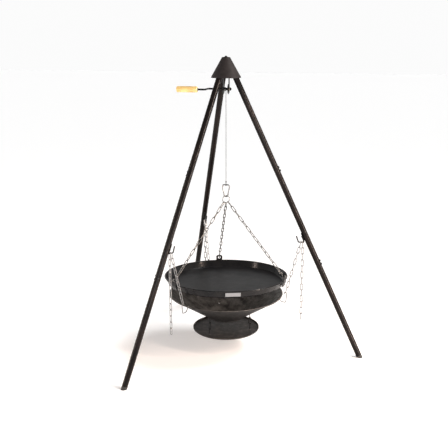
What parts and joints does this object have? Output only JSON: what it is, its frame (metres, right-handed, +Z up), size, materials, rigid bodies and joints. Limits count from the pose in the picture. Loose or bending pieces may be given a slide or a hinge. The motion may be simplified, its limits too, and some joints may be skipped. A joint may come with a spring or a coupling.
{
  "type": "campfire tripod grill",
  "caption": "Campfire tripod with a crank winch that raises and lowers a chain-hung pan over a fire bowl slung from its legs.",
  "frame": {"origin": "on the tripod's vertical axis at the ground", "axes": "+Z up, +X towards the right leg's foot, -X towards the crank's grip side"},
  "size_m": [1.1897, 1.369, 1.6532],
  "materials": {
    "leg_enamel": "gloss black stove enamel",
    "cap_coating": "matte dark grey powder coat",
    "foot_rubber": "matte black rubber",
    "grip_wood": "clear varnished pine",
    "black_steel": "satin black",
    "bush_brass": "plain turned brass",
    "zinc_fittings": "zinc plated",
    "cable_steel": "bright stranded steel",
    "zinc_hardware": "zinc plated, a little dull",
    "pan_chain_steel": "zinc plated, smoked",
    "chain_zinc": "bright zinc plated",
    "pan_enamel": "glossy black vitreous enamel on steel",
    "rivet_steel": "dark steel",
    "badge_steel": "plain brushed stainless, unmarked",
    "bowl_coating": "speckled heat-resistant black coating",
    "disc_coating": "heat-resistant dark grey coating"
  },
  "bodies": {
    "tripod": {"ash_disc": "disc_coating", "bowl_chain_left": "chain_zinc", "bowl_chain_rear": "chain_zinc", "bowl_chain_right": "chain_zinc", "cap_bolt": "black_steel", "disc_hangers": "black_steel", "fire_bowl": "bowl_coating", "foot_plug_left": "foot_rubber", "foot_plug_rear": "foot_rubber", "foot_plug_right": "foot_rubber", "head_cap": "cap_coating", "hook_screws": "black_steel", "leg_bolts": "black_steel", "leg_hook_left": "black_steel", "leg_hook_rear": "black_steel", "leg_hook_right": "black_steel", "leg_hub": "black_steel", "leg_lower_left": "leg_enamel", "leg_lower_rear": "leg_enamel", "leg_lower_right": "leg_enamel", "leg_middle_left": "leg_enamel", "leg_middle_rear": "leg_enamel", "leg_middle_right": "leg_enamel", "leg_upper_left": "leg_enamel", "leg_upper_rear": "leg_enamel", "leg_upper_right": "leg_enamel", "rim_s_hooks": "chain_zinc", "shaft_bushes": "bush_brass", "splice_spigots": "zinc_fittings", "winch_plate_bolts": "black_steel", "winch_plate_left": "black_steel", "winch_plate_right": "black_steel"},
    "crank": {"crank_rod": "black_steel", "cable_drum": "black_steel", "cable_wraps": "cable_steel", "shaft_washer": "zinc_fittings", "shaft_nut": "black_steel", "grip_collar": "zinc_fittings", "grip_nut": "zinc_fittings"},
    "grip": {"crank_grip": "grip_wood"},
    "hoist": {"hoist_cable": "cable_steel", "cable_ferrule": "cable_steel"},
    "pan_set": {"cable_eye": "cable_steel", "carabiner_body": "zinc_hardware", "gate_pin": "zinc_fittings", "hanger_ring": "zinc_hardware", "pan_chain_left": "pan_chain_steel", "pan_chain_rear": "pan_chain_steel", "pan_chain_right": "pan_chain_steel", "pan_s_hooks": "pan_chain_steel", "pan": "pan_enamel", "pan_ear_left": "pan_enamel", "pan_ear_rear": "pan_enamel", "pan_ear_right": "pan_enamel", "ear_rivets": "rivet_steel", "badge_plate": "badge_steel"},
    "gate": {"carabiner_gate": "zinc_hardware"},
    "tail_right": {"chain_tail_right": "chain_zinc"},
    "tail_rear": {"chain_tail_rear": "chain_zinc"},
    "tail_left": {"chain_tail_left": "chain_zinc"}
  },
  "joints": [
    {"name": "crank_turn", "type": "hinge", "parent": "tripod", "child": "crank", "pos_m": [0, -0.0085, 1.479], "axis": [1, 0, 0], "range_deg": [0, 2025]},
    {"name": "pan_hoist", "type": "slide", "parent": "tripod", "child": "hoist", "axis": [0, 0, 1], "range_m": [0, 0.3], "deforming": ["hoist_cable"]},
    {"name": "pan_swivel", "type": "hinge", "parent": "hoist", "child": "pan_set", "pos_m": [0, 0, 0.97], "axis": [0, 0, 1], "range_deg": [-95, 4]},
    {"name": "grip_spin", "type": "hinge", "parent": "crank", "child": "grip", "pos_m": [-0.2, -0.0735, 1.479], "axis": [1, 0, 0], "continuous": true},
    {"name": "gate_open", "type": "hinge", "parent": "pan_set", "child": "gate", "pos_m": [0.01132, 0.00015, 0.90509], "axis": [0.0133, -0.9999, 0], "range_deg": [0, 22], "stiffness_Nm_per_rad": 0.05, "springref_deg": -17.19},
    {"name": "tail_right_swing", "type": "hinge", "parent": "tripod", "child": "tail_right", "pos_m": [0.434, 0, 0.6505], "axis": [1, 0, 0], "range_deg": [-25, 25]},
    {"name": "tail_rear_swing", "type": "hinge", "parent": "tripod", "child": "tail_rear", "pos_m": [-0.217, 0.37585, 0.6505], "axis": [-0.5, 0.866, 0], "range_deg": [-25, 25]},
    {"name": "tail_left_swing", "type": "hinge", "parent": "tripod", "child": "tail_left", "pos_m": [-0.217, -0.37585, 0.6505], "axis": [-0.5, -0.866, 0], "range_deg": [-25, 25]}
  ],
  "couplings": [
    {"joint": "crank_turn", "follows": "pan_hoist", "rad_per_m": 117.65}
  ]
}
